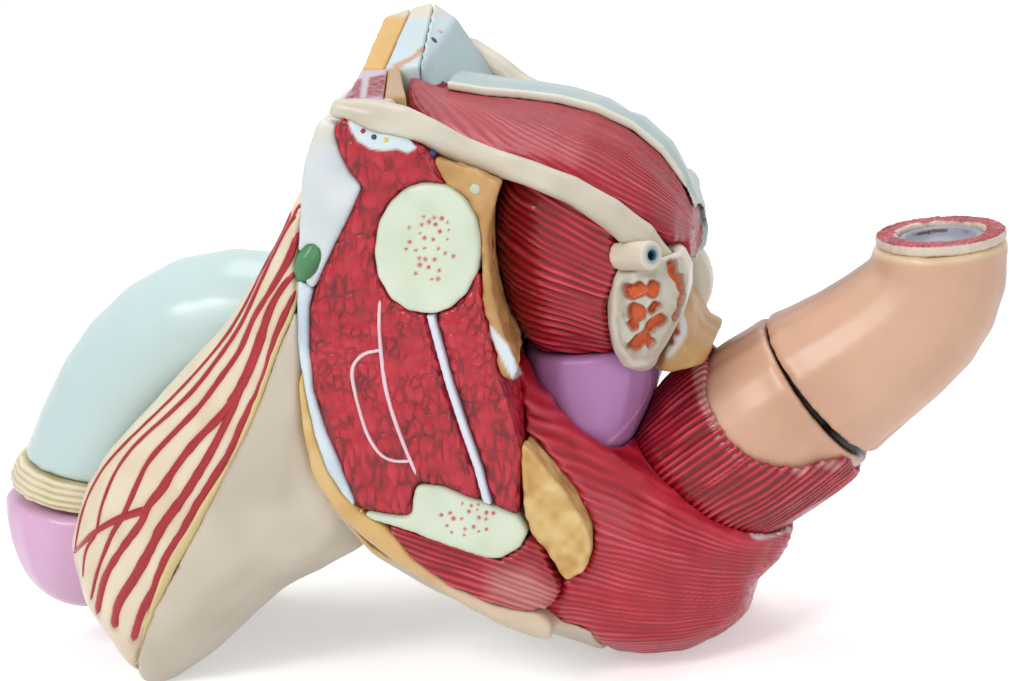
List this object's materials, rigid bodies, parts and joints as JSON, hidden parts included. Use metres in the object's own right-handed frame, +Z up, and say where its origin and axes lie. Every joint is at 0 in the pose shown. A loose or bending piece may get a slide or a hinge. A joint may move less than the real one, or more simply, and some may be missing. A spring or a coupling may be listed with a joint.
{
  "type": "male reproductive organ model",
  "caption": "Teaching model of the male pelvic organs in median view, cut at both sides, with lift-out bladder block and pull-off upper rectum.",
  "frame": {"origin": "on the table, under the middle of the model's outer box", "axes": "+X to the back of the body, where the rectum is; -Y to the left side, whose cut face is turned to the viewer; +Z up"},
  "size_m": [0.2346, 0.0856, 0.1416],
  "materials": {
    "cut_muscle": "red painted PVC, semi-gloss",
    "bone": "pale green-white painted PVC, satin",
    "cartilage": "grey-white PVC, satin",
    "membrane": "white painted PVC, satin",
    "fascia": "pale blue-white painted PVC, semi-gloss",
    "fascia_blue": "light blue painted PVC, semi-gloss",
    "fat": "ochre painted PVC, satin",
    "node_green": "green painted PVC, semi-gloss",
    "penis_blue": "pale blue painted PVC, glossy",
    "glans_pink": "pink painted PVC, glossy",
    "cream": "cream painted PVC, semi-gloss",
    "scrotal_skin": "beige painted PVC, satin",
    "peritoneum": "grey-blue painted PVC, satin",
    "flesh": "flesh-coloured painted PVC, glossy",
    "lumen": "grey-lilac painted PVC, satin",
    "prostate_violet": "violet painted PVC, semi-gloss",
    "inner_plastic": "plain unpainted PVC",
    "pin_steel": "turned steel pin"
  },
  "bodies": {
    "pelvis": {"inner_core": "inner_plastic", "pelvic_wall_left": "cut_muscle", "pelvic_wall_right": "cut_muscle", "pubic_bone_left": "bone", "pubic_bone_right": "bone", "pubic_symphysis": "cartilage", "ischial_ramus_left": "bone", "ischial_ramus_right": "bone", "obturator_membrane_left": "membrane", "obturator_membrane_right": "membrane", "retropubic_fat_left": "fat", "retropubic_fat_right": "fat", "inguinal_fascia_left": "fascia", "inguinal_fascia_right": "fascia", "fascia_band_left": "fascia_blue", "fascia_band_right": "fascia_blue", "lymph_node_left": "node_green", "lymph_node_right": "node_green", "rectus_muscle_left": "cut_muscle", "wall_fat_left": "fat", "wall_fat_right": "fat", "rectus_sheath_right": "fascia", "wall_lining_right": "peritoneum", "penis_shaft": "penis_blue", "foreskin_collar": "cream", "glans": "glans_pink", "spermatic_cord_left": "cream", "spermatic_cord_right": "cream", "scrotum_left": "scrotal_skin", "scrotum_right": "scrotal_skin", "perineal_skin_left": "fat", "perineal_skin_right": "fat", "perineal_muscle_left": "cut_muscle", "perineal_muscle_right": "cut_muscle", "ischioanal_fat_left": "fat", "ischioanal_fat_right": "fat", "levator_ani_left": "cut_muscle", "levator_ani_right": "cut_muscle", "rectal_muscle": "cut_muscle", "lower_rectum": "flesh", "rectovesical_fat": "fat", "rectum_pin_lower": "pin_steel", "rectum_pin_upper": "pin_steel", "prostate_peg": "pin_steel"},
    "bladder_block": {"bladder_body": "cut_muscle", "bladder_dome": "cut_muscle", "peritoneum": "peritoneum", "ductus_deferens_left": "cream", "ductus_deferens_right": "cream", "ureter_left": "lumen", "ureter_right": "lumen", "seminal_vesicle_left": "cream", "seminal_vesicle_right": "cream", "prostate": "prostate_violet"},
    "upper_rectum": {"upper_rectum": "flesh", "rectum_cut_ring": "cut_muscle", "rectum_lining": "lumen"}
  },
  "joints": [
    {"name": "bladder_block_lift", "type": "slide", "parent": "pelvis", "child": "bladder_block", "axis": [0, 0, 1], "range_m": [0, 0.11]},
    {"name": "upper_rectum_pull", "type": "slide", "parent": "pelvis", "child": "upper_rectum", "axis": [0.8359, 0, 0.5489], "range_m": [0, 0.06]}
  ]
}
